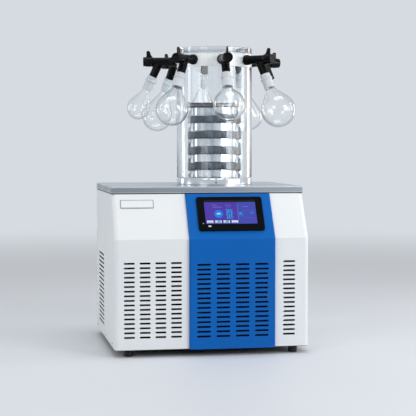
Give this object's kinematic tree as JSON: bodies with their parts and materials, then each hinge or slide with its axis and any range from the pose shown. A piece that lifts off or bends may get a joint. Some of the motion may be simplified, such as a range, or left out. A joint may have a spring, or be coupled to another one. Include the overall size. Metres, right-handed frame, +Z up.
{
  "type": "freeze dryer",
  "caption": "Bench-top freeze dryer: sheet-metal cabinet with touch screen, clear vacuum chamber with tray rack, and a ring of rubber manifold valves carrying glass flasks.",
  "frame": {"origin": "bottom centre of the whole object's box, on the surface that the feet stand on", "axes": "+Z up, -Y towards the user at the screen side, +X to the user's right; units metres"},
  "size_m": [0.6622, 0.623, 0.976],
  "materials": {
    "white_paint": "powder coat, fine texture",
    "blue_paint": "satin paint",
    "bare_steel": "brushed",
    "polished_steel": "polished",
    "zinc_steel": "zinc plated sheet",
    "black_rubber": "smooth moulded rubber",
    "white_silicone": "translucent silicone",
    "flask_glass": "clear blown glass",
    "clear_acrylic": "clear cast acrylic",
    "frosted_acrylic": "pale polished acrylic",
    "black_plastic": "moulded, semi-gloss",
    "display": "lit display under cover glass",
    "bare_plate": "satin anodised",
    "dark_anodised": "dark anodised",
    "copper": "drawn tube",
    "foam": "rigid foam",
    "black_enamel": "black enamel",
    "fin_aluminium": "thin coated fins",
    "brass": "machined"
  },
  "bodies": {
    "cabinet": {"base_pan": "zinc_steel", "left_cover": "white_paint", "right_cover": "white_paint", "front_panel": "blue_paint", "rear_panel": "white_paint", "worktop": "bare_steel", "worktop_strip": "black_rubber", "feet": "black_rubber", "casing_screws": "polished_steel", "screen_bezel": "black_plastic", "screen_glass": "display", "name_plate": "bare_plate", "cold_trap": "bare_steel", "evaporator_coil": "copper", "trap_insulation": "foam", "chamber_collar": "polished_steel", "base_seal": "white_silicone", "chamber_tube": "clear_acrylic", "port_ring": "frosted_acrylic", "port_nipples": "polished_steel", "lid_seal": "white_silicone", "chamber_lid": "frosted_acrylic", "rack_frame": "polished_steel", "rack_shelves": "polished_steel", "rack_nuts": "polished_steel", "tray_1": "dark_anodised", "tray_2": "dark_anodised", "tray_3": "dark_anodised", "tray_4": "dark_anodised", "valve_bodies": "black_rubber", "flask_adapters": "white_silicone", "flask_1": "flask_glass", "flask_2": "flask_glass", "flask_4": "flask_glass", "flask_5": "flask_glass", "flask_6": "flask_glass", "flask_7": "flask_glass", "flask_8": "flask_glass", "compressor": "black_enamel", "compressor_grommets": "black_rubber", "condenser": "fin_aluminium", "fan_frame": "black_plastic", "refrigerant_lines": "copper", "control_box": "zinc_steel", "vacuum_port": "polished_steel", "drain_pipe": "copper", "drain_valve": "brass", "power_inlet": "black_plastic"},
    "fan": {"fan_blades": "black_plastic"},
    "rocker": {"power_rocker": "black_plastic"},
    "drain_handle": {"drain_lever": "bare_steel"},
    "knob_1": {"valve_knob_1": "black_plastic"},
    "knob_2": {"valve_knob_2": "black_plastic"},
    "knob_3": {"valve_knob_3": "black_plastic"},
    "knob_4": {"valve_knob_4": "black_plastic"},
    "knob_5": {"valve_knob_5": "black_plastic"},
    "knob_6": {"valve_knob_6": "black_plastic"},
    "knob_7": {"valve_knob_7": "black_plastic"},
    "knob_8": {"valve_knob_8": "black_plastic"}
  },
  "joints": [
    {"name": "knob_1_turn", "type": "hinge", "parent": "cabinet", "child": "knob_1", "pos_m": [0.0396, -0.18254, 0.933], "axis": [0, -1, 0], "range_deg": [0, 180]},
    {"name": "knob_2_turn", "type": "hinge", "parent": "cabinet", "child": "knob_2", "pos_m": [0.16607, -0.13399, 0.933], "axis": [0.6691, -0.7431, 0], "range_deg": [0, 180]},
    {"name": "knob_3_turn", "type": "hinge", "parent": "cabinet", "child": "knob_3", "pos_m": [0.22447, 0.04576, 0.933], "axis": [0.9781, 0.2079, 0], "range_deg": [0, 180]},
    {"name": "knob_4_turn", "type": "hinge", "parent": "cabinet", "child": "knob_4", "pos_m": [0.15596, 0.1554, 0.933], "axis": [0.6157, 0.788, 0], "range_deg": [0, 180]},
    {"name": "knob_5_turn", "type": "hinge", "parent": "cabinet", "child": "knob_5", "pos_m": [0.0396, 0.19546, 0.933], "axis": [0, 1, 0], "range_deg": [0, 180]},
    {"name": "knob_6_turn", "type": "hinge", "parent": "cabinet", "child": "knob_6", "pos_m": [-0.07676, 0.1554, 0.933], "axis": [-0.6157, 0.788, 0], "range_deg": [0, 180]},
    {"name": "knob_7_turn", "type": "hinge", "parent": "cabinet", "child": "knob_7", "pos_m": [-0.14527, 0.04576, 0.933], "axis": [-0.9781, 0.2079, 0], "range_deg": [0, 180]},
    {"name": "knob_8_turn", "type": "hinge", "parent": "cabinet", "child": "knob_8", "pos_m": [-0.08687, -0.13399, 0.933], "axis": [-0.6691, -0.7431, 0], "range_deg": [0, 180]},
    {"name": "fan_spin", "type": "hinge", "parent": "cabinet", "child": "fan", "pos_m": [0.0396, -0.22654, 0.172], "axis": [0, 1, 0], "continuous": true},
    {"name": "power_rock", "type": "hinge", "parent": "cabinet", "child": "rocker", "pos_m": [-0.2509, 0.26246, 0.11], "axis": [1, 0, 0], "range_deg": [0, 20]},
    {"name": "drain_turn", "type": "hinge", "parent": "cabinet", "child": "drain_handle", "pos_m": [0.3001, -0.09454, 0.306], "axis": [0, 0, 1], "range_deg": [0, 90]}
  ]
}
